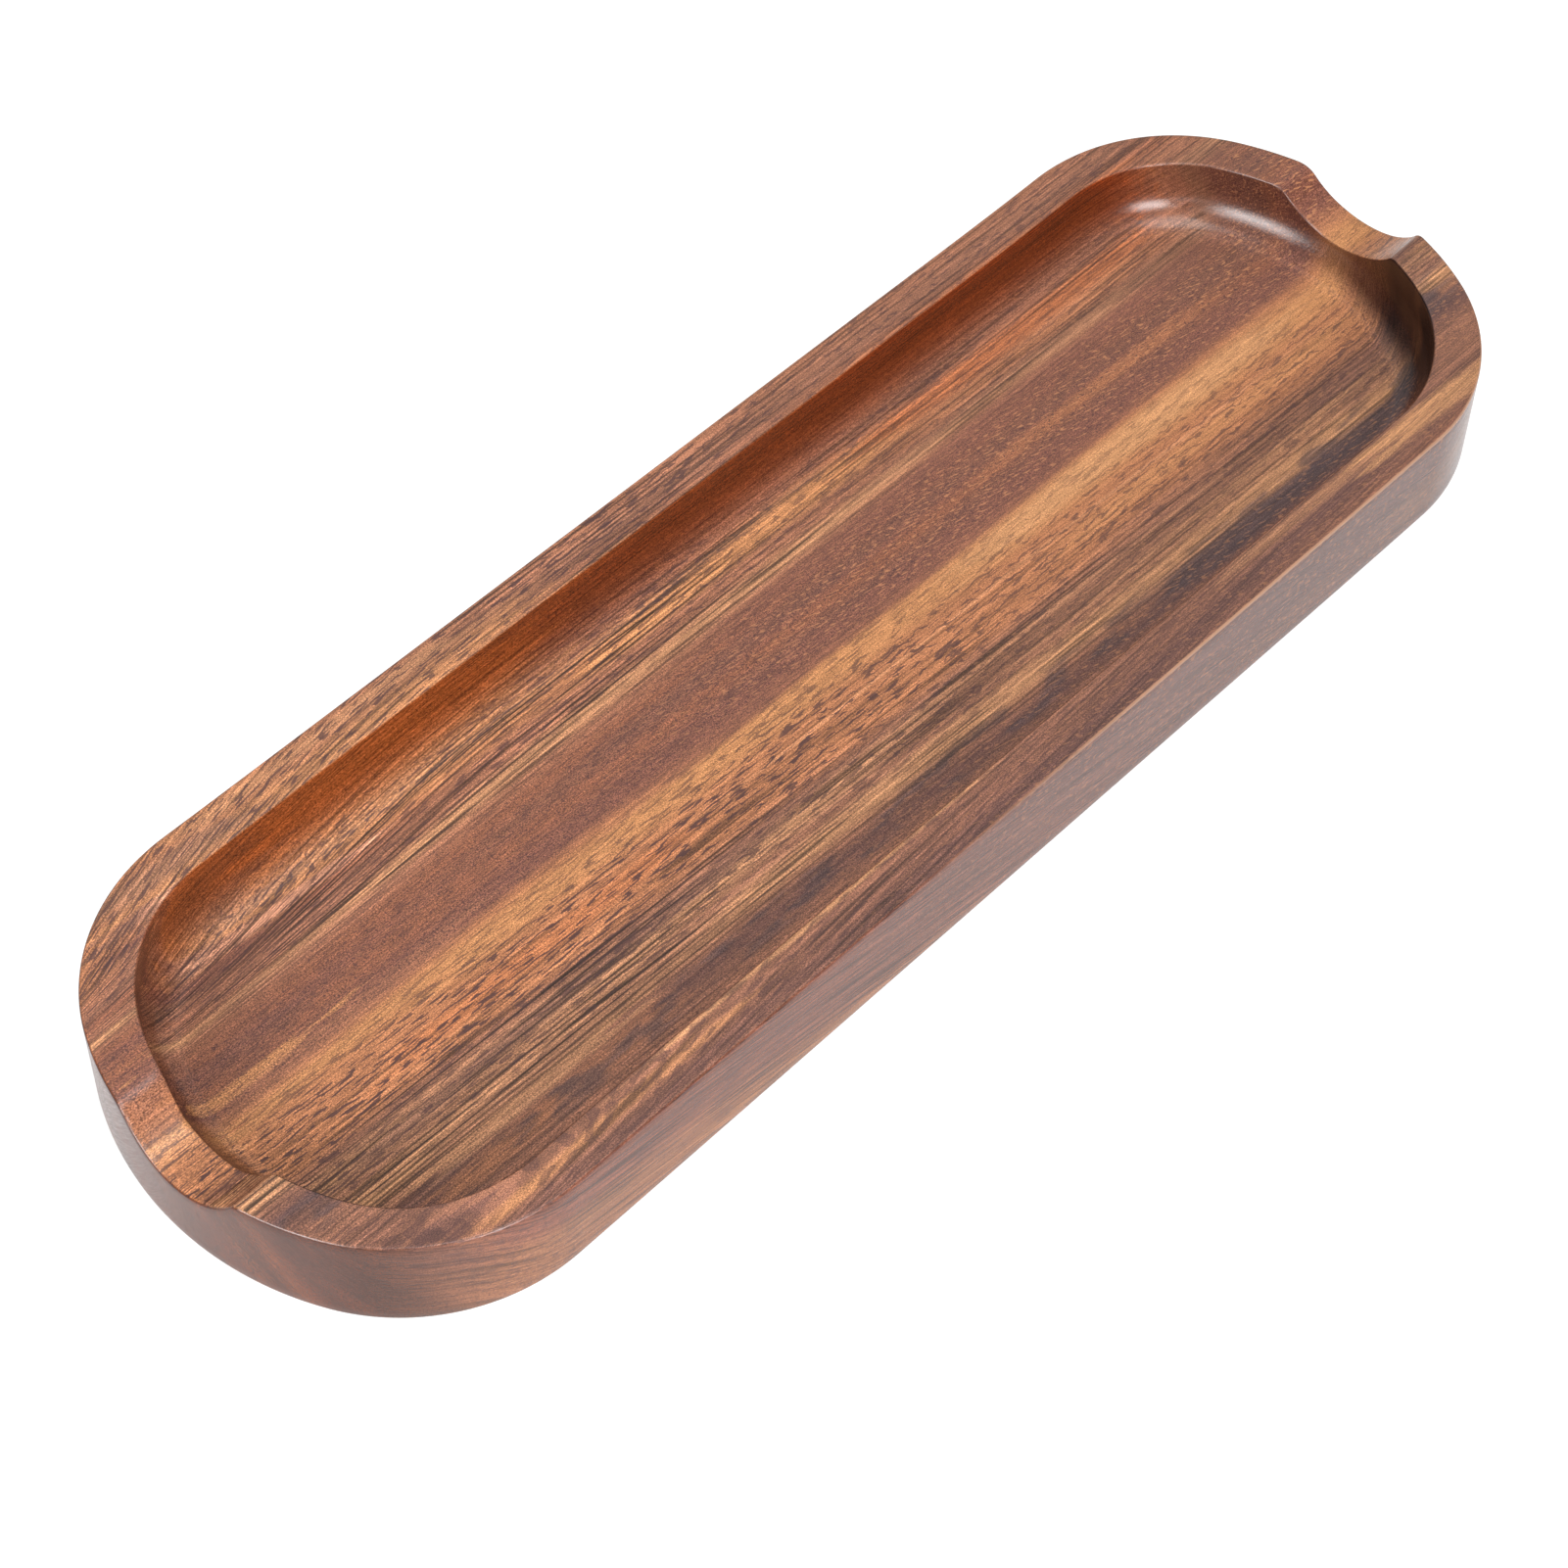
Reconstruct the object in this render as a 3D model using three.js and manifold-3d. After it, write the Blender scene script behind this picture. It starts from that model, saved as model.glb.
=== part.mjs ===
// Utensil rest carved from one hardwood board: bowed ends with large corner arcs, a flat rim,
// a flat-floored pocket with a cove round its foot, and a shallow round scoop through the rim
// at each end, where the handles of spoons and spatulas lie.
// Millimetres. +X runs along the board, +Z is up, and the origin is at the middle of the underside.

import * as THREE from "three";
import { mergeVertices } from "three/addons/utils/BufferGeometryUtils.js";
import Module from "manifold-3d";

// Board
const boardLength = 280;
const boardWidth = 90;
const boardHeight = 19.5;
const cornerRadius = 36; // arcs that turn off the long sides
const endFlattening = 11; // how far the end arc's radius exceeds half the width
const edgeRound = 0.6; // sanded outer edges, top and bottom

// Pocket
const rimWidth = 8; // the same all round
const floorThickness = 7.5;
const coveRadius = 7;
const pocketEdgeBreak = 0.4; // bevel on the rim's inner edge

// Scoops
const scoopRadius = 15;
const scoopDepth = 6.5;
const lipRadius = 2; // round where a scoop rolls over into the rim

// Fineness of the curves, and how far a cutter stands clear of the board
const outlineSteps = 10;
const edgeSteps = 3;
const coveSteps = 8;
const scoopSteps = 12;
const overcut = 6;

const oiledWood = new THREE.MeshStandardMaterial({
  name: "oiled_wood",
  color: 0x80502f,
  roughness: 0.42,
  metalness: 0,
});

const wasm = await Module();
wasm.setup();

// A closed three.js geometry as a solid that can be cut.
function toSolid(geometry) {
  geometry.deleteAttribute("normal");
  geometry.deleteAttribute("uv");
  const welded = mergeVertices(geometry);
  return new wasm.Manifold(
    new wasm.Mesh({
      numProp: 3,
      vertProperties: welded.getAttribute("position").array,
      triVerts: new Uint32Array(welded.getIndex().array),
    })
  );
}

function toGeometry(solid) {
  const { vertProperties, triVerts } = solid.getMesh();
  const geometry = new THREE.BufferGeometry();
  geometry.setAttribute("position", new THREE.BufferAttribute(vertProperties, 3));
  geometry.setIndex(new THREE.BufferAttribute(triVerts, 1));
  geometry.computeVertexNormals();
  return geometry;
}

// The board seen from above, drawn in by a constant distance: straight sides, an arc at each
// corner and a flatter arc across each end, every one tangent to the next.
function boardOutline(inset) {
  const halfWidth = boardWidth / 2;
  const corner = Math.min(cornerRadius, halfWidth);
  const endRadius = halfWidth + endFlattening;
  const endX = boardLength / 2 - endRadius;
  const centreDistance = endRadius - corner;
  const cornerY = halfWidth - corner;
  const cornerX = endX + Math.sqrt(centreDistance ** 2 - cornerY ** 2);
  const join = Math.asin(cornerY / centreDistance); // where the end arc hands over to a corner
  const quarter = Math.PI / 2;
  const outline = new THREE.Shape();
  outline.absarc(endX, 0, endRadius - inset, -join, join);
  outline.absarc(cornerX, cornerY, corner - inset, join, quarter);
  outline.absarc(-cornerX, cornerY, corner - inset, quarter, 2 * quarter - join);
  outline.absarc(-endX, 0, endRadius - inset, 2 * quarter - join, 2 * quarter + join);
  outline.absarc(-cornerX, -cornerY, corner - inset, 2 * quarter + join, 3 * quarter);
  outline.absarc(cornerX, -cornerY, corner - inset, 3 * quarter, 4 * quarter - join);
  outline.closePath();
  return outline;
}

function roundedBoard() {
  const board = new THREE.ExtrudeGeometry(boardOutline(0), {
    depth: boardHeight - 2 * edgeRound,
    curveSegments: outlineSteps,
    bevelThickness: edgeRound,
    bevelSize: edgeRound,
    bevelOffset: -edgeRound,
    bevelSegments: edgeSteps,
  });
  return toSolid(board.translate(0, 0, edgeRound));
}

// Upright walls that run into the floor through a cove.
function pocketCutter() {
  const pocketDepth = boardHeight - floorThickness;
  const cove = Math.min(coveRadius, pocketDepth);
  const cutter = new THREE.ExtrudeGeometry(boardOutline(rimWidth), {
    depth: pocketDepth - cove + overcut,
    curveSegments: outlineSteps,
    bevelThickness: cove,
    bevelSize: cove,
    bevelOffset: -cove,
    bevelSegments: coveSteps,
  });
  return toSolid(cutter.translate(0, 0, floorThickness + cove));
}

function pocketEdgeCutter() {
  const cutter = new THREE.ExtrudeGeometry(boardOutline(rimWidth), {
    depth: overcut,
    curveSegments: outlineSteps,
    bevelThickness: pocketEdgeBreak,
    bevelSize: pocketEdgeBreak,
    bevelSegments: 1,
  });
  return toSolid(cutter.translate(0, 0, boardHeight));
}

// One pass of a round-nosed cutter along the board's centre line makes both scoops.
// Its section is an arc that rolls over into the rim through a lip on each side.
function scoopCutter() {
  const centreZ = boardHeight - scoopDepth + scoopRadius;
  const lipZ = boardHeight - lipRadius;
  const lipY = Math.sqrt((scoopRadius + lipRadius) ** 2 - (centreZ - lipZ) ** 2);
  const lipAngle = Math.atan2(centreZ - lipZ, lipY);
  const section = new THREE.Shape();
  section.absarc(lipY, lipZ, lipRadius, Math.PI / 2, Math.PI - lipAngle);
  section.absarc(0, centreZ, scoopRadius, -lipAngle, lipAngle - Math.PI, true);
  section.absarc(-lipY, lipZ, lipRadius, lipAngle, Math.PI / 2);
  section.lineTo(-lipY, boardHeight + overcut);
  section.lineTo(lipY, boardHeight + overcut);
  section.closePath();
  const passLength = boardLength + 2 * overcut;
  const cutter = new THREE.ExtrudeGeometry(section, {
    depth: passLength,
    curveSegments: scoopSteps,
    bevelEnabled: false,
  });
  const alongBoard = new THREE.Matrix4().makeBasis(
    new THREE.Vector3(0, 1, 0),
    new THREE.Vector3(0, 0, 1),
    new THREE.Vector3(1, 0, 0)
  );
  return toSolid(cutter.applyMatrix4(alongBoard).translate(-passLength / 2, 0, 0));
}

function tray() {
  const carved = [pocketCutter(), pocketEdgeCutter(), scoopCutter()].reduce(
    (wood, cutter) => wood.subtract(cutter),
    roundedBoard()
  );
  const mesh = new THREE.Mesh(toGeometry(carved), oiledWood);
  mesh.name = "tray";
  return mesh;
}

const utensilRest = new THREE.Group();
utensilRest.add(tray());

export default utensilRest;
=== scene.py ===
import math

import bpy
import numpy as np
from mathutils import Matrix, Vector


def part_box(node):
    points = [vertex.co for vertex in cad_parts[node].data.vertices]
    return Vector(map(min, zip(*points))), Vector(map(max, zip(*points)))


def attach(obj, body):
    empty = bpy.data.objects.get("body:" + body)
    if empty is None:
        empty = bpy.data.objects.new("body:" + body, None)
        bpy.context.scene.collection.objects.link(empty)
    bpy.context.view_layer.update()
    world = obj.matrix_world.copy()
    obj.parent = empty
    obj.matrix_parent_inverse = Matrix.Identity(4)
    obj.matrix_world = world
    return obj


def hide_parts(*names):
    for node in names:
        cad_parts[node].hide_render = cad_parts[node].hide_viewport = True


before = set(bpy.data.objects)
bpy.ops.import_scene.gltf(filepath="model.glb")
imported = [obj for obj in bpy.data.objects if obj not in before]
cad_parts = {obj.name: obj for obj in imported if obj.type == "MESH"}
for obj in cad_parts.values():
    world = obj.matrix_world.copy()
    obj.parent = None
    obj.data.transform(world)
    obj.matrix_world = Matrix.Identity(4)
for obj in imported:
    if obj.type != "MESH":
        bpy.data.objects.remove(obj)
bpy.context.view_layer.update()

MM = 0.001

# Board sizes: the three outer ones come from the frame, the rest repeat the CAD part's values.
TRAY_LOW, TRAY_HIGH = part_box("tray")
LENGTH = TRAY_HIGH[0] - TRAY_LOW[0]
WIDTH = TRAY_HIGH[1] - TRAY_LOW[1]
HEIGHT = TRAY_HIGH[2] - TRAY_LOW[2]
CORNER_RADIUS = 36 * MM
END_RADIUS = WIDTH / 2 + 11 * MM
RIM_WIDTH = 8 * MM
FLOOR_HEIGHT = 7.5 * MM
COVE_RADIUS = 7 * MM
SCOOP_RADIUS = 15 * MM
SCOOP_DEPTH = 6.5 * MM
LIP_RADIUS = 2 * MM
SOFT_LIP_RADIUS = 5 * MM
OUTER_EDGE = 0.5 * MM
INNER_EDGE = 0.4 * MM

# Hand sanding: how much fuller (or tighter) each corner is than the drawing, outside and inside,
# in the order +X+Y, -X+Y, -X-Y, +X-Y.
OUTER_FULLNESS = (0.7 * MM, 0.2 * MM, -0.1 * MM, -0.3 * MM)
INNER_FULLNESS = (1.0 * MM, -0.3 * MM, 0.8 * MM, -0.5 * MM)

# Mesh: insets of the rows on the base and on the floor, how many rows each stretch of the section has,
# and how many steps each stretch of the outline has.
BASE_INSETS = (12 * MM, 4 * MM)
FLOOR_INSETS = (15.6 * MM, 17 * MM, 20 * MM, 25 * MM, 31 * MM)
EDGE_ROWS = 5
WALL_ROWS = 12
RIM_ROWS = 14
POCKET_ROWS = 44
END_STEPS = 180
CORNER_STEPS = 56
SIDE_STEPS = 100

# Photograph's viewpoint: the image is square.
IMAGE_SIZE = 1601
FOCAL_PIXELS = 3899
VIEW_AZIMUTH = math.radians(-47.73)
VIEW_ELEVATION = math.radians(52.25)
VIEW_ROLL = math.radians(1.51)
VIEW_DISTANCE = 618.6 * MM
VIEW_TARGET = Vector((-17.0, -6.2, 0.0)) * MM
SENSOR_WIDTH = 36.0
NEAR_CLIP = 0.01


# Shape

def outline_stations():
    """Places round the outline, anticlockwise: rows of arc centre x, y, arc radius and angle.
    A straight side is a row of arc centres with one angle, so every station can be drawn inwards."""
    corner_y = WIDTH / 2 - CORNER_RADIUS
    reach = END_RADIUS - CORNER_RADIUS
    end_x = LENGTH / 2 - END_RADIUS
    corner_x = end_x + math.sqrt(reach ** 2 - corner_y ** 2)
    join = math.asin(corner_y / reach)
    quarter = math.pi / 2
    rows = []

    def arc(x, y, radius, start, stop, steps):
        for angle in np.linspace(start, stop, steps, endpoint=False):
            rows.append((x, y, radius, angle))

    def side(start_x, stop_x, y, angle):
        for x in np.linspace(start_x, stop_x, SIDE_STEPS, endpoint=False):
            rows.append((x, y, CORNER_RADIUS, angle))

    arc(end_x, 0, END_RADIUS, -join, join, END_STEPS)
    arc(corner_x, corner_y, CORNER_RADIUS, join, quarter, CORNER_STEPS)
    side(corner_x, -corner_x, corner_y, quarter)
    arc(-corner_x, corner_y, CORNER_RADIUS, quarter, 2 * quarter - join, CORNER_STEPS)
    arc(-end_x, 0, END_RADIUS, 2 * quarter - join, 2 * quarter + join, END_STEPS)
    arc(-corner_x, -corner_y, CORNER_RADIUS, 2 * quarter + join, 3 * quarter, CORNER_STEPS)
    side(-corner_x, corner_x, -corner_y, 3 * quarter)
    arc(corner_x, -corner_y, CORNER_RADIUS, 3 * quarter, 4 * quarter - join, CORNER_STEPS)
    return np.array(rows)


def corner_wobble(stations, fullness):
    """Outward shift of each station: a smooth swell centred on each corner."""
    centre_x, centre_y, radius, angle = stations.T
    x = centre_x + radius * np.cos(angle)
    y = centre_y + radius * np.sin(angle)
    corner_place = np.array([LENGTH / 2 - 17 * MM, WIDTH / 2 - 8 * MM])
    spread = 22 * MM
    shift = np.zeros(len(stations))
    for swell, (side_x, side_y) in zip(fullness, ((1, 1), (-1, 1), (-1, -1), (1, -1))):
        distance = np.hypot(x - side_x * corner_place[0], y - side_y * corner_place[1])
        shift += swell * np.exp(-((distance / spread) ** 2))
    return shift


def top_height(y):
    """Height of the rim at a place across the board, as cut by the scoop along the centre line.
    Sanding has left the scoop's +Y lip softer than the other."""
    centre_z = HEIGHT - SCOOP_DEPTH + SCOOP_RADIUS
    lip_radius = np.where(y > 0, SOFT_LIP_RADIUS, LIP_RADIUS)
    lip_z = HEIGHT - lip_radius
    lip_y = np.sqrt((SCOOP_RADIUS + lip_radius) ** 2 - (centre_z - lip_z) ** 2)
    meet_y = lip_y * SCOOP_RADIUS / (SCOOP_RADIUS + lip_radius)
    across = np.abs(y)
    scoop = centre_z - np.sqrt(SCOOP_RADIUS ** 2 - np.minimum(across, meet_y) ** 2)
    lip = lip_z + np.sqrt(lip_radius ** 2 - np.clip(lip_y - across, 0, lip_radius) ** 2)
    return np.where(across < meet_y, scoop, np.where(across < lip_y, lip, HEIGHT))


def tray_grid():
    """Vertex rows of the tray, one row per step of its section: from under the base, up the outer
    wall, over the rim, down the pocket wall and cove, and onto the floor."""
    stations = outline_stations()
    centre_x, centre_y, radius, angle = stations.T
    outer_shift = corner_wobble(stations, OUTER_FULLNESS)
    inner_shift = corner_wobble(stations, INNER_FULLNESS)
    rows = []

    def place(inset, z, share):
        """One row: inset from the outline, height, and how far the row follows the pocket's wobble."""
        reach = radius - inset + outer_shift * (1 - share) + inner_shift * share
        x = centre_x + reach * np.cos(angle)
        y = centre_y + reach * np.sin(angle)
        rows.append(np.column_stack((x, y, np.broadcast_to(z, x.shape))))
        return y

    def y_at(inset, share):
        reach = radius - inset + outer_shift * (1 - share) + inner_shift * share
        return centre_y + reach * np.sin(angle)

    rolls = np.linspace(0, math.pi / 2, EDGE_ROWS)
    outer_top = top_height(y_at(0, 0))
    inner_top = top_height(y_at(RIM_WIDTH, 1))

    for inset in BASE_INSETS:
        place(inset, 0.0, 0)
    for roll in rolls:
        place(OUTER_EDGE * (1 - math.sin(roll)), OUTER_EDGE * (1 - math.cos(roll)), 0)
    for rise in np.linspace(0, 1, WALL_ROWS)[1:-1]:
        place(0, OUTER_EDGE + rise * (outer_top - 2 * OUTER_EDGE), 0)
    for roll in rolls:
        place(OUTER_EDGE * (1 - math.cos(roll)), outer_top - OUTER_EDGE * (1 - math.sin(roll)), 0)

    rim_start, rim_stop = OUTER_EDGE, RIM_WIDTH - INNER_EDGE
    for share in np.linspace(0, 1, RIM_ROWS)[1:-1]:
        inset = rim_start + share * (rim_stop - rim_start)
        place(inset, top_height(y_at(inset, share)), share)

    # Where the scoop reaches below the top of the cove, the pocket's edge lies on the cove itself.
    cove_top = FLOOR_HEIGHT + COVE_RADIUS
    wall_top = inner_top - INNER_EDGE
    cove_start = np.arcsin(np.clip((cove_top - wall_top) / COVE_RADIUS, 0, 1))
    edge_inset = RIM_WIDTH + COVE_RADIUS * (1 - np.cos(cove_start))
    for roll in rolls:
        place(edge_inset - INNER_EDGE * (1 - math.sin(roll)), wall_top + INNER_EDGE * math.cos(roll), 1)
    wall_length = np.maximum(wall_top - cove_top, 0)
    cove_length = COVE_RADIUS * (math.pi / 2 - cove_start)
    for share in np.linspace(0, 1, POCKET_ROWS)[1:]:
        run = share * (wall_length + cove_length)
        turn = cove_start + np.maximum(run - wall_length, 0) / COVE_RADIUS
        down = np.minimum(run, wall_length)
        inset = RIM_WIDTH + COVE_RADIUS * (1 - np.cos(turn))
        z = np.where(run < wall_length, wall_top - down, cove_top - COVE_RADIUS * np.sin(turn))
        place(inset, z, 1)
    for inset in FLOOR_INSETS:
        place(inset, FLOOR_HEIGHT, 1)
    return np.array(rows)


def build_tray():
    grid = tray_grid()
    row_count, station_count, _ = grid.shape
    vertices = grid.reshape(-1, 3)
    index = np.arange(row_count * station_count).reshape(row_count, station_count)
    onward = np.roll(index, -1, axis=1)
    quads = np.stack((index[:-1], onward[:-1], onward[1:], index[1:]), axis=-1).reshape(-1, 4)
    faces = [*quads.tolist(), index[0, ::-1].tolist(), index[-1].tolist()]
    mesh = bpy.data.meshes.new("wooden_tray")
    mesh.from_pydata(vertices.tolist(), [], faces)
    mesh.polygons.foreach_set("use_smooth", [True] * len(mesh.polygons))
    mesh.update()
    tray = bpy.data.objects.new("wooden_tray", mesh)
    bpy.context.collection.objects.link(tray)
    return tray


# Materials

def linear(red, green, blue):
    """A colour given as 0 to 255 screen values, as the shader's linear values."""
    def channel(value):
        value /= 255
        return value / 12.92 if value <= 0.04045 else ((value + 0.055) / 1.055) ** 2.4
    return (channel(red), channel(green), channel(blue), 1.0)


def grey(value):
    return (value, value, value, 1.0)


class Graph:
    """Builds a material's nodes. Each method returns an output socket; inputs are sockets or values."""

    def __init__(self, name):
        self.material = bpy.data.materials.new(name)
        self.material.use_nodes = True
        self.tree = self.material.node_tree
        self.tree.nodes.clear()

    def node(self, kind, **settings):
        made = self.tree.nodes.new(kind)
        for name, value in settings.items():
            setattr(made, name, value)
        return made

    def feed(self, socket, value):
        if isinstance(value, bpy.types.NodeSocket):
            self.tree.links.new(value, socket)
        else:
            socket.default_value = value

    def math(self, operation, *values):
        made = self.node("ShaderNodeMath", operation=operation)
        for socket, value in zip(made.inputs, values):
            self.feed(socket, value)
        return made.outputs[0]

    def add(self, first, second):
        return self.math("ADD", first, second)

    def times(self, first, second):
        return self.math("MULTIPLY", first, second)

    def object_millimetres(self):
        place = self.node("ShaderNodeTexCoord").outputs["Object"]
        made = self.node("ShaderNodeVectorMath", operation="SCALE")
        self.feed(made.inputs[0], place)
        made.inputs["Scale"].default_value = 1 / MM
        return made.outputs[0]

    def split(self, vector):
        made = self.node("ShaderNodeSeparateXYZ")
        self.feed(made.inputs[0], vector)
        return made.outputs

    def join(self, x, y, z):
        made = self.node("ShaderNodeCombineXYZ")
        for socket, value in zip(made.inputs, (x, y, z)):
            self.feed(socket, value)
        return made.outputs[0]

    def noise(self, x, y, z, size, detail=2.0, roughness=0.5):
        """Noise with features of the given size, (x, y, z) in millimetres; about 0 to 1."""
        place = self.join(*[self.times(value, 1 / length) for value, length in zip((x, y, z), size)])
        made = self.node("ShaderNodeTexNoise")
        self.feed(made.inputs["Vector"], place)
        made.inputs["Scale"].default_value = 1.0
        made.inputs["Detail"].default_value = detail
        made.inputs["Roughness"].default_value = roughness
        return made.outputs[0]

    def remap(self, value, low, high, to_low=0.0, to_high=1.0):
        made = self.node("ShaderNodeMapRange", interpolation_type="SMOOTHSTEP")
        for socket, given in zip(made.inputs, (value, low, high, to_low, to_high)):
            self.feed(socket, given)
        return made.outputs[0]

    def ramp(self, value, stops):
        """Colour along a list of (place from 0 to 1, colour)."""
        made = self.node("ShaderNodeValToRGB")
        elements = made.color_ramp.elements
        while len(elements) < len(stops):
            elements.new(1.0)
        for element, (place, colour) in zip(elements, stops):
            element.position = place
            element.color = colour
        self.feed(made.inputs[0], value)
        return made.outputs[0]

    def greys(self, value, stops):
        """Grey along a list of (place from 0 to 1, brightness)."""
        return self.ramp(value, [(place, grey(brightness)) for place, brightness in stops])

    def mix(self, factor, first, second, blend="MIX"):
        made = self.node("ShaderNodeMix", data_type="RGBA", blend_type=blend)
        self.feed(made.inputs[0], factor)
        self.feed(made.inputs[6], first)
        self.feed(made.inputs[7], second)
        return made.outputs[2]

    def finish(self, **inputs):
        shader = self.node("ShaderNodeBsdfPrincipled")
        for name, value in inputs.items():
            self.feed(shader.inputs[name.replace("_", " ")], value)
        output = self.node("ShaderNodeOutputMaterial")
        self.tree.links.new(shader.outputs[0], output.inputs[0])
        return self.material


# Tones of the oiled wood.
HONEY = (168, 120, 80)
STRAW = (152, 108, 75)
GOLD = (158, 108, 68)
AMBER = (145, 94, 62)
ORANGE = (156, 90, 50)
CLAY = (126, 82, 60)
RUSSET = (116, 71, 50)
UMBER = (112, 74, 56)
MAUVE = (102, 63, 50)
SEPIA = (98, 64, 50)
DRAB = (113, 80, 63)
SLATE = (82, 54, 47)
SMOKE = (60, 47, 48)
PORE = (60, 38, 38)
FLECK = (168, 114, 78)
# Painted highlight: the pale line where the light catches the foot of the pocket's cove near the -X +Y
# corner.
PAINTED_HIGHLIGHT = (176, 124, 98)
# Wear with a painted highlight on the rounded long outer top edges.
EDGE_WEAR_AND_HIGHLIGHT = (150, 115, 92)

# Growth bands from one side of the board to the other: millimetres across at the height of the
# pocket's floor, tone, and how much of the band's figure is long lines, pore dashes and speckle.
BAND_LOW, BAND_HIGH = -64.0, 50.0
BANDS = (
    (-60, RUSSET, (0.5, 0.3, 0.4)),
    (-54, SEPIA, (0.5, 0.4, 0.4)),
    (-49.5, SLATE, (0.5, 0.4, 0.4)),
    (-47, SEPIA, (0.6, 0.5, 0.4)),
    (-44.5, SEPIA, (0.6, 0.5, 0.3)),
    (-42, UMBER, (0.6, 0.5, 0.2)),
    (-38, UMBER, (0.5, 0.5, 0.3)),
    (-32, UMBER, (0.4, 0.3, 0.6)),
    (-28, SLATE, (0.2, 0.2, 0.6)),
    (-25.5, UMBER, (0.6, 0.2, 0.5)),
    (-23, STRAW, (1.0, 0.3, 0.2)),
    (-20, UMBER, (0.9, 0.7, 0.5)),
    (-17, STRAW, (0.8, 0.8, 0.4)),
    (-14, UMBER, (1.0, 0.7, 0.4)),
    (-11.5, AMBER, (0.8, 1.0, 0.4)),
    (-4, AMBER, (0.4, 1.0, 0.3)),
    (-1, GOLD, (0.2, 0.7, 0.2)),
    (1.5, GOLD, (0.2, 0.5, 0.2)),
    (3.4, AMBER, (0.2, 0.3, 0.4)),
    (5.4, MAUVE, (0.1, 0.2, 0.9)),
    (8, MAUVE, (0.1, 0.4, 1.0)),
    (11, RUSSET, (0.1, 0.4, 1.0)),
    (14, MAUVE, (0.1, 0.4, 1.0)),
    (17, RUSSET, (0.1, 0.4, 0.9)),
    (20.5, CLAY, (0.5, 0.3, 0.5)),
    (23.2, STRAW, (1.0, 0.3, 0.2)),
    (25.2, CLAY, (0.9, 0.7, 0.5)),
    (28, CLAY, (0.9, 0.7, 0.4)),
    (31, RUSSET, (1.0, 0.7, 0.3)),
    (35, UMBER, (0.9, 0.9, 0.3)),
    (38.5, CLAY, (0.8, 0.9, 0.3)),
    (47, AMBER, (0.6, 0.8, 0.4)),
)

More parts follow.
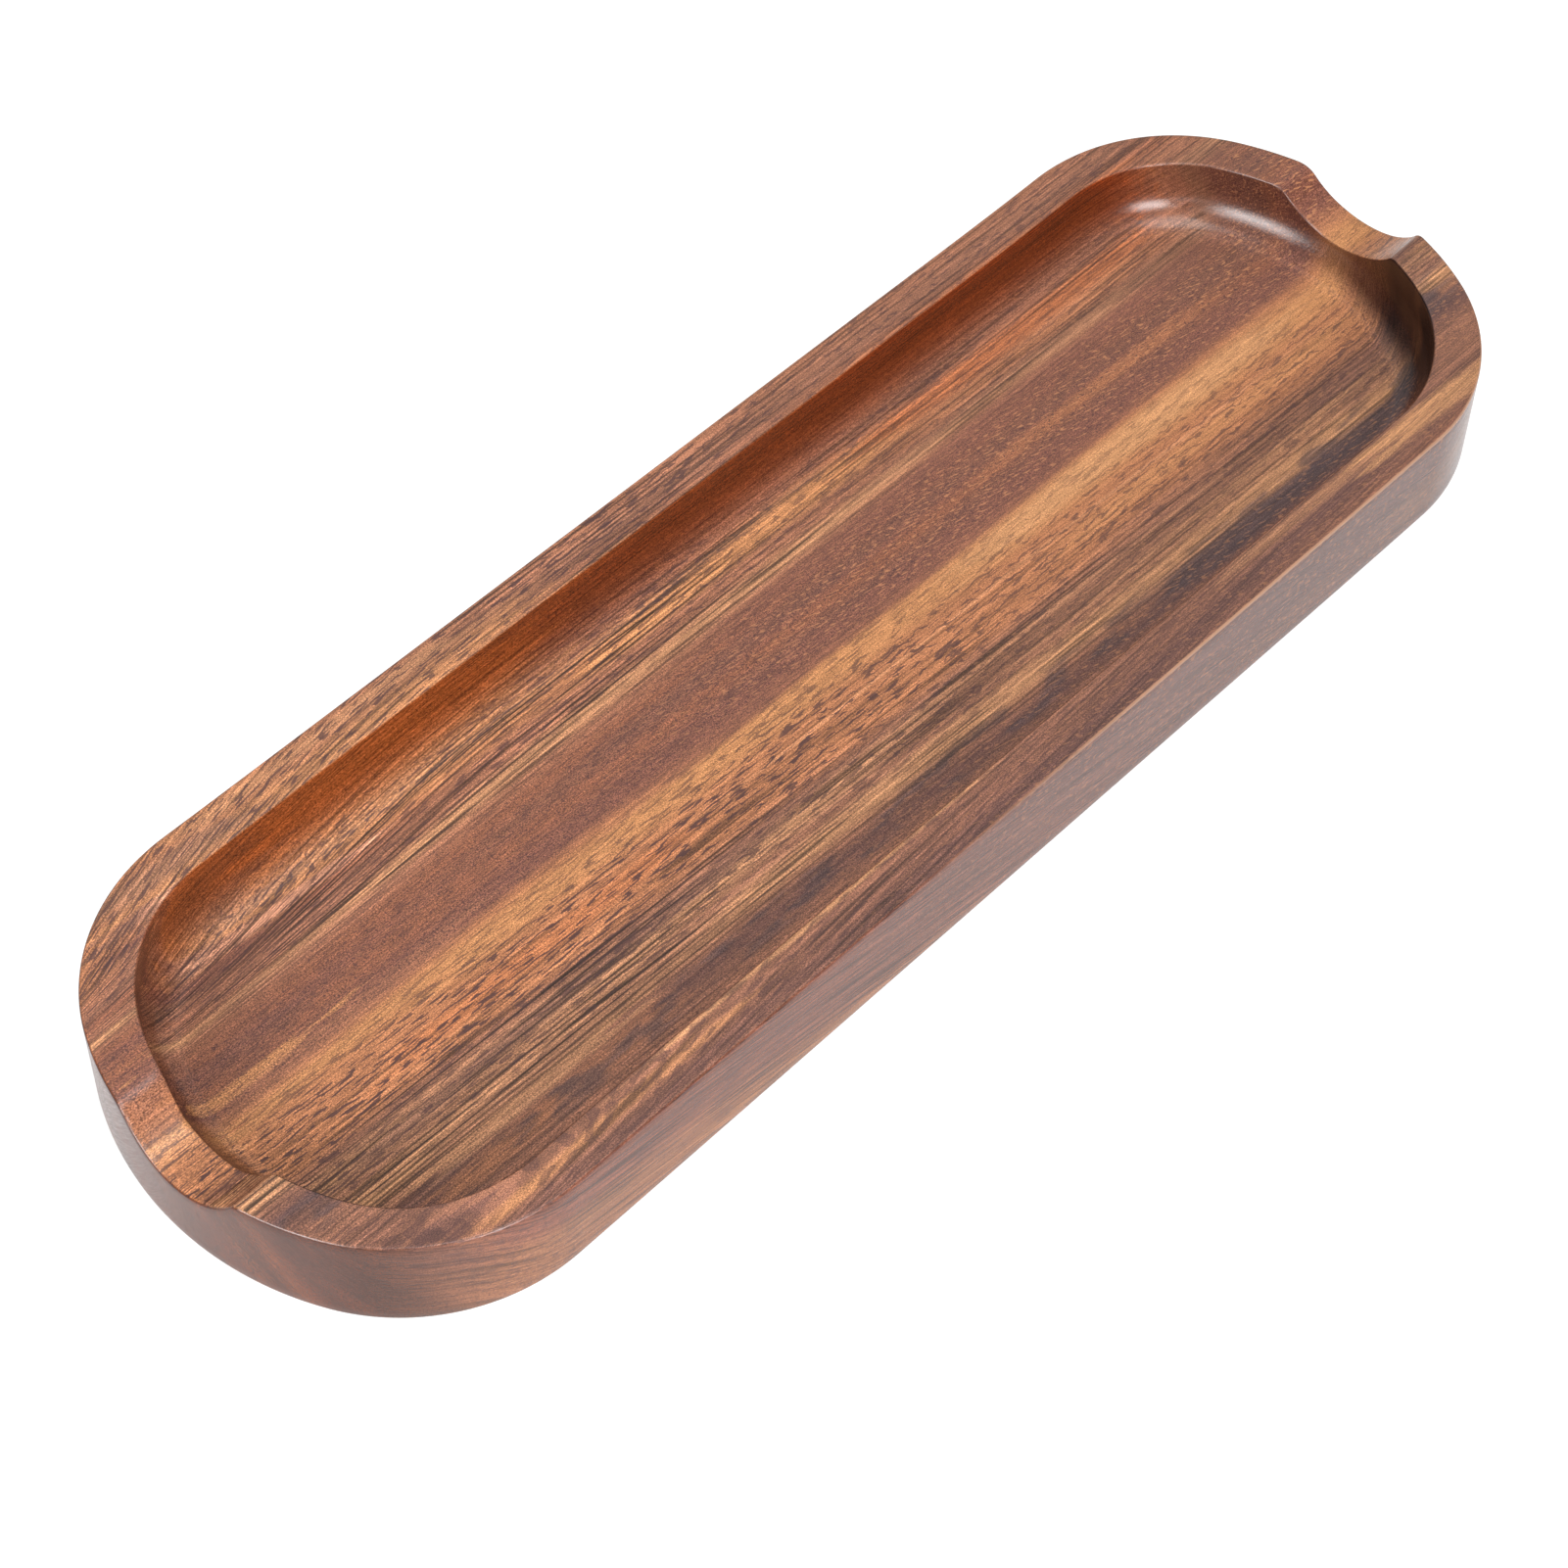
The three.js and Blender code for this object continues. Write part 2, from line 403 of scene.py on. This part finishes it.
# Streaks that come and go along the bands: from x, y to x, y in millimetres at the height of the
# pocket's floor, half width, tone and strength.
STREAKS = (
    ((-122, 25.5), (-82, 25.0), 2.8, UMBER, 0.7),
    ((-122, 21.0), (-70, 21.0), 1.6, UMBER, 0.5),
    ((46, 27.0), (112, 27.0), 2.0, AMBER, 0.6),
    ((-6, 18.6), (128, 18.4), 3.4, MAUVE, 0.8),
    ((-124, 15.0), (-106, 14.0), 5.0, SLATE, 0.35),
    ((-130, 9.5), (-104, 8.5), 1.8, GOLD, 0.8),
    ((-122, 6.5), (-72, 6.5), 2.4, CLAY, 0.7),
    ((-88, 13.0), (-36, 15.0), 4.0, RUSSET, 0.6),
    ((56, 11.5), (106, 10.8), 1.8, AMBER, 0.5),
    ((-40, 4.0), (84, 3.2), 1.8, MAUVE, 0.8),
    ((34, -0.6), (114, -1.8), 3.0, HONEY, 0.9),
    ((-36, -5.2), (106, -7.6), 0.35, FLECK, 0.9),
    ((50, -9.0), (126, -10.0), 2.0, GOLD, 0.6),
    ((-104, -5.0), (-40, -6.0), 2.2, ORANGE, 0.4),
    ((-123, -14.2), (-26, -14.8), 1.6, SLATE, 0.7),
    ((56, -14.0), (124, -15.5), 2.2, UMBER, 0.6),
    ((-10, -17.6), (128, -19.0), 1.8, SEPIA, 0.8),
    ((-32, -21.8), (120, -23.8), 1.9, STRAW, 0.55),
    ((-112, -23.0), (-72, -23.6), 1.6, STRAW, 0.7),
    ((-114, -27.0), (-66, -27.0), 2.6, AMBER, 0.6),
    ((50, -27.4), (130, -29.4), 2.6, SMOKE, 0.85),
    ((-118, 32.5), (-32, 32.5), 4.5, GOLD, 0.6),
    ((-110, -20.5), (-48, -20.8), 1.8, UMBER, 0.6),
    ((-28, 30.0), (44, 29.6), 2.8, GOLD, 0.8),
    # Painted highlight along the foot of the pocket's cove near the -X +Y corner.
    ((-118, 30.8), (-76, 29.2), 1.4, PAINTED_HIGHLIGHT, 0.8),
    ((-122, 30.6), (-106, 30.4), 1.6, SEPIA, 0.7),
    ((-112, -46.2), (-68, -45.8), 1.3, GOLD, 0.45),
    ((-122, 28.0), (-100, 27.6), 1.5, MAUVE, 0.8),
    ((-128, 35.4), (-90, 34.6), 3.0, DRAB, 0.7),
    ((50, 21.2), (128, 20.6), 1.6, MAUVE, 0.5),
    ((-70, 15.0), (128, 14.6), 2.0, SEPIA, 0.5),
    ((-16, 8.8), (110, 8.4), 1.6, SEPIA, 0.35),
    ((74, -24.4), (116, -25.0), 1.8, STRAW, 0.8),
    ((-150, -35.5), (-108, -36.8), 3.2, SEPIA, 0.7),
    ((-140, -38.0), (-112, -44.0), 2.4, SLATE, 0.8),
    ((-122, -45.2), (-98, -46.6), 1.0, GOLD, 0.3),
    ((-104, 38.0), (-44, 37.6), 1.4, STRAW, 0.6),
    ((-126, -18.0), (-52, -18.0), 1.6, STRAW, 0.45),
    ((-126, 0.0), (-88, -1.0), 3.2, AMBER, 0.8),
    ((-64, -46.4), (4, -46.4), 1.6, SEPIA, 0.5),
    ((50, -43.6), (100, -44.2), 1.4, STRAW, 0.4),
    ((44, 24.0), (132, 23.2), 1.8, SEPIA, 0.6),
    ((40, 30.6), (112, 30.0), 2.4, ORANGE, 0.6),
    ((108, 13.0), (134, 13.0), 4.0, SEPIA, 0.5),
    # Painted shade on the floor at the foot of the +X end's cove, on the -Y side.
    ((108, -20.0), (140, -20.0), 5.0, SLATE, 0.5),
    ((102, 19.0), (142, 18.0), 8.0, SEPIA, 0.5),
    ((-80, -43.4), (-14, -42.6), 0.6, STRAW, 0.8),
    ((-130, -49.0), (10, -49.0), 1.3, SLATE, 0.6),
    ((92, -44.4), (132, -46.0), 2.4, HONEY, 0.7),
    ((120, -26.5), (146, -26.5), 1.0, STRAW, 0.8),
    ((-150, 5.2), (-127, 5.2), 1.9, CLAY, 0.8),
    ((-150, 3.4), (-127, 3.4), 0.8, RUSSET, 0.7),
    ((-150, 0.8), (-127, 0.8), 1.6, FLECK, 0.6),
)

# The long outer sides: the upper tone at one end of the board and at the other, and the lower tone.
SIDE_UPPER = ((91, 51, 37), (80, 58, 54))
SIDE_LOWER = (112, 71, 46)

# What the oil does to wood cut across the fibres, outside and in the pocket, and painted shade, darker and
# redder,
# on the long sides of the pocket: a tint at one end of the board and at the other (for the ends: at the -Y
# side and further over). The ends' -Y tints also hold painted shade, darkest on the pocket's end walls.
OUTER_END_OIL_AND_SHADE = ((0.24, 0.16, 0.12, 1), (0.38, 0.23, 0.15, 1))
INNER_END_OIL_AND_SHADE = ((0.10, 0.08, 0.085, 1), (0.46, 0.40, 0.40, 1))
POCKET_SIDE_SHADE = ((0.58, 0.30, 0.13, 1), (0.50, 0.20, 0.05, 1))


# Sizes of the wood's figure along, across and through the board, in millimetres.
SLOW_WANDER_SIZE = (150, 30, 30)
QUICK_WANDER_SIZE = (50, 4, 4)
RAGGED_END_SIZE = (14, 1.0, 2.0)
CLOUD_SIZE = (11, 2.6, 4.0)
END_BAND_SIZE = (100, 9, 40)
FIBRE_SIZE = (4, 0.30, 3.0)
GRAIN_SIZE = (0.30, 0.15, 0.15)
LINE_SIZE = (26, 0.44, 6.0)
BUNDLE_SIZE = (50, 2.5, 8)
RIPPLE_SIZE = (2.4, 1.4, 1.4)
CLUSTER_SIZE = (18, 3, 3)
TUBE_SIZE = (25, 0.38, 0.36)
FLECK_SIZE = (1.5, 0.34, 0.5)
DOT_SIZE = (0.55, 0.38, 0.38)

# What the fine figure multiplies the colour by: places in its noise, and brightness there.
FIBRE_TONES = ((0.3, 0.72), (0.5, 1.0), (0.7, 1.32))
GRAIN_TONES = ((0.25, 0.32), (0.5, 0.97), (0.75, 1.9))
LINE_TONES = ((0.36, 0.08), (0.43, 0.85), (0.50, 1.0), (0.59, 1.12), (0.66, 1.8))

# Middle of the smoky band, how far bands and streaks' ends stray, all in millimetres, and the share of
# a streak's length over which it fades.
CLOUD_MIDDLE = -27.0
SLOW_WANDER = 3.0
QUICK_WANDER = 1.4
RAGGED_END = 50.0
STREAK_FADE = 0.3

# Finish: roughness of curved faces, how much rougher flat ones are, and the relief of the fine figure.
CURVED_ROUGHNESS = (0.17, 0.27)
SATIN_ROUGHNESS = 0.52
OIL_IOR = 1.36
RELIEF_STRENGTH = 0.3
RELIEF_DEPTH = 0.1 * MM


class OiledWood(Graph):
    """The tray's wood. Each step changes the colour that the steps before it have left."""

    def __init__(self):
        super().__init__("oiled_wood")
        self.x, self.y, self.z = self.split(self.object_millimetres())
        self.find_walls()
        self.follow_fibres()
        self.lay_bands()
        self.lay_streaks()
        self.lay_clouds()
        self.calm_outer_walls()
        self.lay_fibres()
        self.lay_lines()
        self.lay_pores()
        self.lay_flecks()
        self.darken_cuts_and_shade()
        self.lighten_edges()

    def less(self, share, amount):
        """One, less an amount of a share."""
        return self.add(self.times(share, -amount), 1.0)

    def paint(self, share, tone):
        """Lays a tone over the colour."""
        self.colour = self.mix(share, self.colour, linear(*tone))

    def tint(self, share, tint):
        """Multiplies the colour by a tint."""
        self.colour = self.mix(share, self.colour, self.mix(1.0, self.colour, tint, "MULTIPLY"))

    def find_walls(self):
        """How far a place is on each kind of wall. A wall's normal points away from the middle outside,
        towards it inside. The pocket's end wall starts lower down on the -Y side, so its painted shade
        reaches further down the cove."""
        self.normal = self.split(self.node("ShaderNodeTexCoord").outputs["Normal"])
        away_x = self.times(self.normal[0], self.math("SIGN", self.x))
        self.away_y = self.times(self.normal[1], self.math("SIGN", self.y))
        self.outer_end = self.remap(away_x, 0.3, 0.85)
        side = self.remap(self.away_y, 0.25, 0.85)
        self.outer_side = self.times(side, self.math("SUBTRACT", 1.0, self.outer_end))
        self.outer = self.add(self.outer_end, self.outer_side)
        end_start = self.remap(self.y, -22, 4, -0.08, -0.25)
        end_stop = self.remap(self.y, -22, 4, -0.66, -0.92)
        self.inner_end = self.remap(away_x, end_start, end_stop)
        side = self.remap(self.away_y, -0.25, -1.1)
        side = self.times(side, self.math("SUBTRACT", 1.0, self.inner_end))
        self.inner_side = self.times(side, self.remap(self.math("ABSOLUTE", self.y), 14, 22))
        self.inner = self.add(self.inner_end, self.inner_side)

    def follow_fibres(self):
        """The grain drifts along the board, fans out at the -X +Y corner, leans across the board's
        thickness and dives through it."""
        middle_drift = self.remap(self.y, -10, 24, 0.027, 0.0)
        near_drift = self.remap(self.y, -30, -44, 0.0, -0.085)
        drift = self.times(self.x, self.add(middle_drift, near_drift))
        left = self.math("MINIMUM", self.add(self.x, 40.0), 0.0)
        fan = self.times(self.times(left, left), self.remap(self.y, 18, 32, 0.0, 0.0022))
        self.fibre_y = self.add(self.add(self.y, drift), fan)
        self.fibre_z = self.add(self.z, self.times(self.x, 0.11))
        height = self.add(self.z, -FLOOR_HEIGHT / MM)
        self.lean = self.times(height, -0.46)

        # Across the board as measured along its surface, so that fine figure follows the pocket's walls.
        self.surface_y = self.add(self.fibre_y, self.times(height, self.remap(self.y, -12, 12, -1.0, 1.0)))

    def lay_bands(self):
        """Growth bands, which wander a little, and how much of each fine figure they have."""
        slow = self.noise(self.x, self.y, self.z, SLOW_WANDER_SIZE, detail=1)
        quick = self.noise(self.x, self.y, self.z, QUICK_WANDER_SIZE, detail=2)
        slow_shift = self.times(self.add(slow, -0.5), SLOW_WANDER)
        quick_shift = self.times(self.add(quick, -0.5), QUICK_WANDER)
        self.wander = self.add(self.add(slow_shift, quick_shift), self.lean)
        across = self.add(self.add(self.fibre_y, self.wander), -BAND_LOW)
        band_place = self.math("DIVIDE", across, BAND_HIGH - BAND_LOW)
        places = [(at - BAND_LOW) / (BAND_HIGH - BAND_LOW) for at, _, _ in BANDS]
        tones = [linear(*tone) for _, tone, _ in BANDS]
        figures = [(*figure, 1.0) for _, _, figure in BANDS]
        self.colour = self.ramp(band_place, list(zip(places, tones)))
        figure = self.ramp(band_place, list(zip(places, figures)))
        self.lines, self.dashes, self.speckle = self.split(figure)

    def lay_streaks(self):
        """Streaks, with ragged ends."""
        self.flow = self.add(self.y, self.wander)
        ragged = self.noise(self.x, self.y, self.z, RAGGED_END_SIZE, detail=2)
        ragged_x = self.add(self.x, self.times(self.add(ragged, -0.5), RAGGED_END))
        for start, stop, half_width, tone, strength in STREAKS:
            self.paint(self.streak_share(ragged_x, start, stop, half_width, strength), tone)

    def streak_share(self, x, start, stop, half_width, strength):
        """How much of a streak shows at a place: most along its middle, none past its edges and ends."""
        slope = (stop[1] - start[1]) / (stop[0] - start[0])
        middle = self.math("MULTIPLY_ADD", x, slope, start[1] - slope * start[0])
        off = self.math("ABSOLUTE", self.math("SUBTRACT", self.flow, middle))
        fade = STREAK_FADE * (stop[0] - start[0])
        share = self.remap(off, half_width * 1.2, half_width * 0.3, 0.0, strength)
        share = self.times(share, self.remap(x, start[0] - fade / 2, start[0] + fade / 2))
        return self.times(share, self.remap(x, stop[0] + fade / 2, stop[0] - fade / 2))

    def lay_clouds(self):
        """Smoky clouds in the dark band."""
        cloud = self.noise(self.x, self.flow, self.z, CLOUD_SIZE, detail=2)
        band = self.remap(self.math("ABSOLUTE", self.add(self.flow, -CLOUD_MIDDLE)), 4.0, 1.5)
        self.paint(self.times(self.remap(cloud, 0.47, 0.62), self.times(band, 0.7)), SMOKE)

    def calm_outer_walls(self):
        """The outer walls are calmer than the faces. On the long sides the tan part under the mauve one
        thins out towards +X."""
        self.along = self.remap(self.x, -90, 100)
        upper = self.mix(self.along, *[linear(*tone) for tone in SIDE_UPPER])
        lower_share = self.remap(self.add(self.z, self.times(self.x, 0.13)), 1.0, -6.0)
        side_tone = self.mix(lower_share, upper, linear(*SIDE_LOWER))
        self.colour = self.mix(self.times(self.outer_side, 0.85), self.colour, side_tone)
        slant_y = self.add(self.y, self.times(self.z, -0.8))
        end_band = self.noise(self.x, slant_y, self.z, END_BAND_SIZE, detail=1)
        end_tone = self.mix(self.remap(end_band, 0.38, 0.58), linear(*SEPIA), linear(*CLAY))
        self.colour = self.mix(self.times(self.outer_end, 0.7), self.colour, end_tone)

    def lay_fibres(self):
        """Fine fibre and grain everywhere, strongest in the speckled bands and gentler towards +X."""
        clear = self.times(self.remap(self.x, -40, 90, 1.0, 0.65), self.less(self.outer, 0.5))
        self.fibre = self.noise(self.x, self.surface_y, self.fibre_z, FIBRE_SIZE, detail=1, roughness=0.6)
        self.tint(clear, self.greys(self.fibre, FIBRE_TONES))
        self.grain = self.noise(self.x, self.y, self.z, GRAIN_SIZE, detail=0)
        grain_tone = self.greys(self.grain, GRAIN_TONES)
        self.tint(self.times(self.add(self.times(self.speckle, 0.3), 0.7), clear), grain_tone)

    def lay_lines(self):
        """Long lines, dark and golden, in bundles, softer towards +X and in the pocket's wall. They climb
        along the outer walls."""
        line_y = self.add(self.surface_y, self.times(self.times(self.x, self.outer), -0.12))
        line_tone = self.greys(self.noise(self.x, line_y, self.z, LINE_SIZE, detail=0.5), LINE_TONES)
        bundle = self.remap(self.noise(self.x, line_y, self.z, BUNDLE_SIZE, detail=1), 0.32, 0.58, 0.5, 1.0)
        share = self.times(self.times(self.lines, bundle), self.remap(self.x, -40, 70, 1.0, 0.65))
        share = self.times(share, self.less(self.outer_end, 0.8))
        share = self.times(share, self.less(self.inner, 0.5))
        self.tint(share, line_tone)

    def lay_pores(self):
        """Pores: tubes along the fibres, seen as dashes where the surface cuts them, in clusters. Towards
        +X the fibres ripple and the pores show less."""
        ripple = self.add(self.noise(self.x, self.y, self.z, RIPPLE_SIZE, detail=1), -0.5)
        ripple = self.times(ripple, self.remap(self.x, -60, 30, 0.3, 1.4))
        cluster = self.noise(self.x, self.fibre_y, self.fibre_z, CLUSTER_SIZE, detail=1)
        tube_y = self.add(self.fibre_y, ripple)
        tube_z = self.add(self.add(self.fibre_z, self.times(ripple, 0.3)), 40.0)
        tube = self.noise(self.x, tube_y, tube_z, TUBE_SIZE, detail=0)
        reach = self.add(self.times(self.add(cluster, -0.5), 0.13), tube)
        pore = self.times(self.remap(reach, 0.595, 0.63), self.dashes)
        self.pore = self.times(pore, self.less(self.inner, 0.8))
        self.paint(self.times(self.pore, self.remap(self.x, -20, 60, 0.9, 0.6)), PORE)

    def lay_flecks(self):
        """Pale flecks where the fibres of the dark bands ripple, and dark dots."""
        slant_y = self.add(self.y, self.times(self.x, 0.2))
        fleck = self.remap(self.noise(self.x, slant_y, self.z, FLECK_SIZE, detail=0.5), 0.60, 0.68)
        fleck = self.times(self.times(fleck, self.speckle), self.remap(self.x, -60, 20, 0.15, 0.6))
        self.paint(fleck, FLECK)
        dot = self.remap(self.noise(self.x, slant_y, self.z, DOT_SIZE, detail=0), 0.66, 0.73)
        self.paint(self.times(self.times(dot, self.speckle), 0.7), PORE)

    def darken_cuts_and_shade(self):
        """Wood cut across the fibres drinks more oil and darkens, and towards -Y the ends get painted shade
        as well.
        The pocket's long sides get painted shade, darker and redder than the flat faces."""
        over = self.remap(self.y, -18, 14)
        near_middle = self.remap(self.y, -36, -20)
        # Oil darkens the end grain; the -Y side of the ends and the pocket's long sides also get painted
        # shade.
        for share, place, tints in (
            (self.outer_end, near_middle, OUTER_END_OIL_AND_SHADE),
            (self.inner_end, over, INNER_END_OIL_AND_SHADE),
            (self.inner_side, self.along, POCKET_SIDE_SHADE),
        ):
            self.tint(share, self.mix(place, *tints))

    def lighten_edges(self):
        """The long outer top edges are paler: partly wear, partly a painted highlight where the rounded
        edge catches the light.
        """
        high = self.remap(self.z, HEIGHT / MM - 0.9, HEIGHT / MM - 0.4)
        tilted = self.remap(self.normal[2], 0.98, 0.85)
        pale_edge = self.times(self.times(high, tilted), self.remap(self.away_y, 0.1, 0.5))
        # Painted highlight and wear on the long outer top edges.
        self.paint(self.times(pale_edge, self.remap(self.x, -40, 40, 0.0, 0.75)), EDGE_WEAR_AND_HIGHLIGHT)

    def roughness(self):
        """Flat faces are satin, curved ones glossy."""
        flat = self.remap(self.normal[2], 0.93, 0.995)
        curved = self.remap(self.fibre, 0.25, 0.75, *CURVED_ROUGHNESS)
        return self.add(curved, self.times(flat, SATIN_ROUGHNESS))

    def relief(self):
        """Raised fibres and grain, and sunken pores."""
        bump = self.node("ShaderNodeBump")
        bump.inputs["Strength"].default_value = RELIEF_STRENGTH
        bump.inputs["Distance"].default_value = RELIEF_DEPTH
        raised = self.add(self.times(self.fibre, 0.4), self.times(self.grain, 0.4))
        self.feed(bump.inputs["Height"], self.add(raised, self.times(self.pore, -0.8)))
        return bump.outputs[0]


def oiled_wood():
    wood = OiledWood()
    return wood.finish(
        Base_Color=wood.colour,
        Roughness=wood.roughness(),
        Normal=wood.relief(),
        IOR=OIL_IOR,
    )


# Floor: places in its slow clouds and brightness there, and its own glow.
FLOOR_CLOUD_SIZE = (300, 300, 300)
FLOOR_TONES = ((0.0, 0.32), (1.0, 0.35))
FLOOR_ROUGHNESS = 0.6
FLOOR_GLOW = 0.66


def pale_floor():
    graph = Graph("pale_floor")
    x, y, z = graph.split(graph.object_millimetres())
    colour = graph.greys(graph.noise(x, y, z, FLOOR_CLOUD_SIZE, detail=3), FLOOR_TONES)
    return graph.finish(
        Base_Color=colour,
        Roughness=FLOOR_ROUGHNESS,
        Emission_Color=grey(1.0),
        Emission_Strength=FLOOR_GLOW,
    )


# Stage, light and camera

# Sky brightness: from the sine of one elevation to the sine of another, low and high strength. Behind
# the tray a glow is added: its direction, from one cosine to another, and low and high strength.
SKY_RISE = (0.45, 0.8, 0.2, 1.0)
GLOW_DIRECTION = (0.70, 0.71, 0.0)
GLOW_RISE = (0.40, 0.75, 0.0, 0.6)

# Soft boxes: name, direction from the tray, distance, width, height, radiance, and whether the box
# lights the tray or only glints in its gloss.
SOFT_BOXES = (
    ("overhead", (-0.05, -0.25, 0.97), 1.3, 0.72, 0.72, 7.1, True),
    ("left", (-0.95, -0.08, 0.30), 1.0, 0.50, 0.42, 13.5, True),
    ("front", (-0.25, -0.92, 0.33), 1.0, 0.44, 0.38, 18.0, True),
    ("low", (-0.68, -0.72, 0.12), 1.0, 0.36, 0.12, 10.0, True),
    ("left_glint", (-0.95, -0.08, 0.54), 1.0, 0.50, 0.44, 15.0, False),
    ("front_glint", (-0.28, -0.92, 0.42), 1.0, 0.36, 0.34, 14.0, False),
)
FLOOR_HALF_WIDTH = 3.0


def build_floor():
    half = FLOOR_HALF_WIDTH
    mesh = bpy.data.meshes.new("floor")
    corners = [(-half, -half, 0), (half, -half, 0), (half, half, 0), (-half, half, 0)]
    mesh.from_pydata(corners, [], [(0, 1, 2, 3)])
    floor = bpy.data.objects.new("floor", mesh)
    floor.location.z = TRAY_LOW[2]
    floor.data.materials.append(pale_floor())
    bpy.context.collection.objects.link(floor)


def soft_box(name, direction, distance, width, height, radiance, lights):
    """A rectangular lamp that faces the tray."""
    light = bpy.data.lights.new(name, "AREA")
    light.shape = "RECTANGLE"
    light.size = width
    light.size_y = height
    light.energy = radiance * math.pi * width * height
    lamp = bpy.data.objects.new(name, light)
    away = Vector(direction).normalized()
    lamp.location = away * distance
    lamp.rotation_euler = away.to_track_quat("Z", "Y").to_euler()
    lamp.visible_camera = False
    lamp.visible_diffuse = lights
    bpy.context.collection.objects.link(lamp)


def build_sky():
    """Soft white ceiling: dim towards the horizon, brighter overhead and behind the tray."""
    world = bpy.data.worlds.new("studio")
    world.use_nodes = True
    nodes, links = world.node_tree.nodes, world.node_tree.links
    direction = nodes.new("ShaderNodeTexCoord").outputs["Generated"]
    split = nodes.new("ShaderNodeSeparateXYZ")
    links.new(direction, split.inputs[0])
    towards = nodes.new("ShaderNodeVectorMath")
    towards.operation = "DOT_PRODUCT"
    links.new(direction, towards.inputs[0])
    towards.inputs[1].default_value = GLOW_DIRECTION

    def rise(value, limits):
        made = nodes.new("ShaderNodeMapRange")
        made.interpolation_type = "SMOOTHSTEP"
        for socket, limit in zip(made.inputs[1:5], limits):
            socket.default_value = limit
        links.new(value, made.inputs[0])
        return made.outputs[0]

    strength = nodes.new("ShaderNodeMath")
    links.new(rise(split.outputs[2], SKY_RISE), strength.inputs[0])
    links.new(rise(towards.outputs["Value"], GLOW_RISE), strength.inputs[1])
    background = nodes["Background"]
    background.inputs["Color"].default_value = (1, 1, 1, 1)
    links.new(strength.outputs[0], background.inputs["Strength"])
    bpy.context.scene.world = world


def build_light():
    build_sky()
    for settings in SOFT_BOXES:
        soft_box(*settings)
    bpy.context.scene.view_settings.view_transform = "Standard"


def build_camera():
    back = Vector((
        math.sin(VIEW_AZIMUTH) * math.cos(VIEW_ELEVATION),
        -math.cos(VIEW_AZIMUTH) * math.cos(VIEW_ELEVATION),
        math.sin(VIEW_ELEVATION),
    ))
    level = Vector((0, 0, 1)).cross(back).normalized()
    upright = back.cross(level)
    right = level * math.cos(VIEW_ROLL) + upright * math.sin(VIEW_ROLL)
    up = back.cross(right)
    lens = bpy.data.cameras.new("camera")
    lens.sensor_width = SENSOR_WIDTH
    lens.lens = lens.sensor_width * FOCAL_PIXELS / IMAGE_SIZE
    lens.clip_start = NEAR_CLIP
    camera = bpy.data.objects.new("camera", lens)
    turn = Matrix((right, up, back)).transposed().to_4x4()
    camera.matrix_world = Matrix.Translation(VIEW_TARGET + back * VIEW_DISTANCE) @ turn
    bpy.context.collection.objects.link(camera)
    bpy.context.scene.camera = camera


tray = build_tray()
tray.data.materials.append(oiled_wood())
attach(tray, "root")
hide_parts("tray")
build_floor()
build_light()
build_camera()
